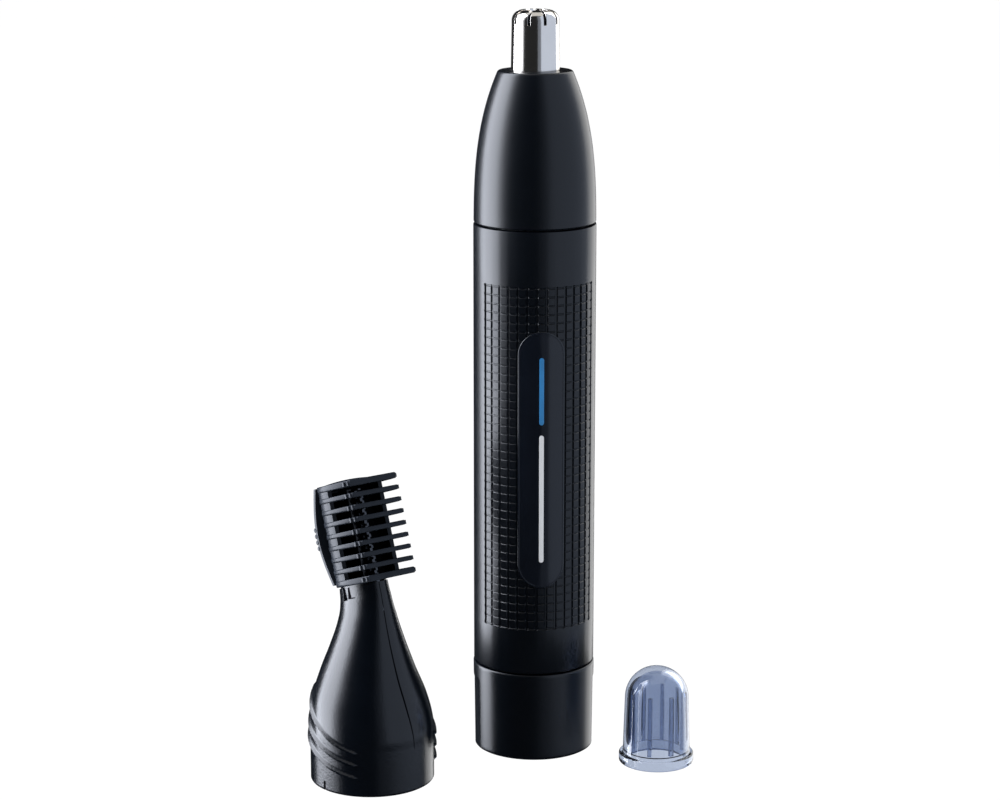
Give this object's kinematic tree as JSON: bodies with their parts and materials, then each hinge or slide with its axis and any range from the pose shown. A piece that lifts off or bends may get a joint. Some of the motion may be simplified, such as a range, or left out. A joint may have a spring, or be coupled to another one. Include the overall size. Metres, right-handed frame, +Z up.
{
  "type": "nose hair trimmer",
  "caption": "Pen-shaped battery trimmer for nose hair with a slotted metal tip, a twist base, a spare eyebrow head with its comb, and a clear cap.",
  "frame": {"origin": "centre of the underside of the handle, where it stands", "axes": "+Z up along the handle, the badge faces -Y, the spare eyebrow head stands at -X and the clear cap at +X"},
  "size_m": [0.07, 0.0377, 0.1357],
  "materials": {
    "shell_plastic": "satin near-black moulded plastic",
    "badge_plastic": "smooth dark panel with a thin bright edge line",
    "comb_plastic": "satin dark grey moulded plastic",
    "frame_plastic": "moulded dark grey plastic",
    "acetal": "natural acetal",
    "chrome": "polished",
    "blade_steel": "ground",
    "steel": "plain drawn steel",
    "magnet": "sintered ferrite",
    "copper": "enamelled copper winding on a steel core",
    "contact_brass": "stamped brass",
    "bush_bronze": "sintered bronze",
    "seal_rubber": "moulded rubber",
    "cell_jacket": "printed jacket, plain",
    "clear_plastic": "clear polished plastic"
  },
  "bodies": {
    "handle": {"body_shell": "shell_plastic", "badge": "badge_plastic", "chassis": "frame_plastic", "battery_liner": "frame_plastic", "battery_deck": "frame_plastic", "battery_cell": "cell_jacket", "positive_contact": "contact_brass", "switch_strip": "contact_brass", "motor_can": "steel", "motor_end_cap": "acetal", "motor_terminals": "contact_brass", "motor_magnets": "magnet", "motor_bush": "bush_bronze", "spigot_seal": "seal_rubber"},
    "rotor": {"motor_shaft": "steel", "armature": "copper", "commutator": "contact_brass", "drive_dog": "acetal"},
    "carrier": {"contact_carrier": "frame_plastic", "carrier_seal": "seal_rubber", "spring_plate": "contact_brass", "battery_spring": "steel", "carrier_strip": "contact_brass"},
    "base": {"base_cap": "shell_plastic", "switch_wiper": "contact_brass"},
    "nose_head": {"nose_cone": "shell_plastic", "guard_tube": "chrome", "guard_retainer": "frame_plastic", "cutter_bush": "bush_bronze"},
    "nose_cutter": {"cutter_shaft": "steel", "cutter_blades": "blade_steel", "drive_socket": "acetal", "cutter_spring": "steel"},
    "brow_head": {"brow_shell": "shell_plastic", "brow_cover": "shell_plastic", "fixed_blade": "blade_steel", "blade_rivets": "steel", "blade_spring": "steel", "crank_bush": "bush_bronze", "lever_pin": "steel"},
    "brow_crank": {"crank_shaft": "steel", "crank_socket": "acetal"},
    "lever": {"blade_lever": "acetal"},
    "blade": {"moving_blade": "blade_steel"},
    "comb": {"eyebrow_comb": "comb_plastic"},
    "cap": {"clear_cap": "clear_plastic"}
  },
  "joints": [
    {"name": "rotor_spin", "type": "hinge", "parent": "handle", "child": "rotor", "pos_m": [0, 0, 0.08], "axis": [0, 0, 1], "continuous": true},
    {"name": "base_pull", "type": "slide", "parent": "handle", "child": "carrier", "axis": [0, 0, -1], "range_m": [0, 0.03]},
    {"name": "base_twist", "type": "hinge", "parent": "carrier", "child": "base", "pos_m": [0, 0, 0.008], "axis": [0, 0, 1], "range_deg": [0, 40]},
    {"name": "nose_head_pull", "type": "slide", "parent": "handle", "child": "nose_head", "axis": [0, 0, 1], "range_m": [0, 0.03]},
    {"name": "cutter_spin", "type": "hinge", "parent": "nose_head", "child": "nose_cutter", "pos_m": [0, 0, 0.12], "axis": [0, 0, 1], "continuous": true},
    {"name": "brow_head_lift", "type": "slide", "parent": "handle", "child": "brow_head", "axis": [0, 0, 1], "range_m": [0, 0.06]},
    {"name": "brow_crank_turn", "type": "hinge", "parent": "brow_head", "child": "brow_crank", "pos_m": [-0.031, -0.0155, 0.015], "axis": [0, 0, 1], "range_deg": [-42, 42]},
    {"name": "lever_rock", "type": "hinge", "parent": "brow_head", "child": "lever", "pos_m": [-0.02813, -0.01749, 0.0239], "axis": [0.8517, 0.524, 0], "range_deg": [-10, 10]},
    {"name": "blade_slide", "type": "slide", "parent": "brow_head", "child": "blade", "axis": [-0.1723, 0.2801, 0.9444], "range_m": [-0.0007, 0.0007]},
    {"name": "comb_pull", "type": "slide", "parent": "brow_head", "child": "comb", "axis": [-0.1723, 0.2801, 0.9444], "range_m": [0, 0.025]},
    {"name": "cap_lift", "type": "slide", "parent": "handle", "child": "cap", "axis": [0, 0, 1], "range_m": [0, 0.04]}
  ],
  "couplings": [
    {"joint": "cutter_spin", "follows": "rotor_spin", "ratio": 1},
    {"joint": "lever_rock", "follows": "blade_slide", "rad_per_m": 222.22},
    {"joint": "brow_crank_turn", "follows": "blade_slide", "rad_per_m": 1005.6}
  ]
}
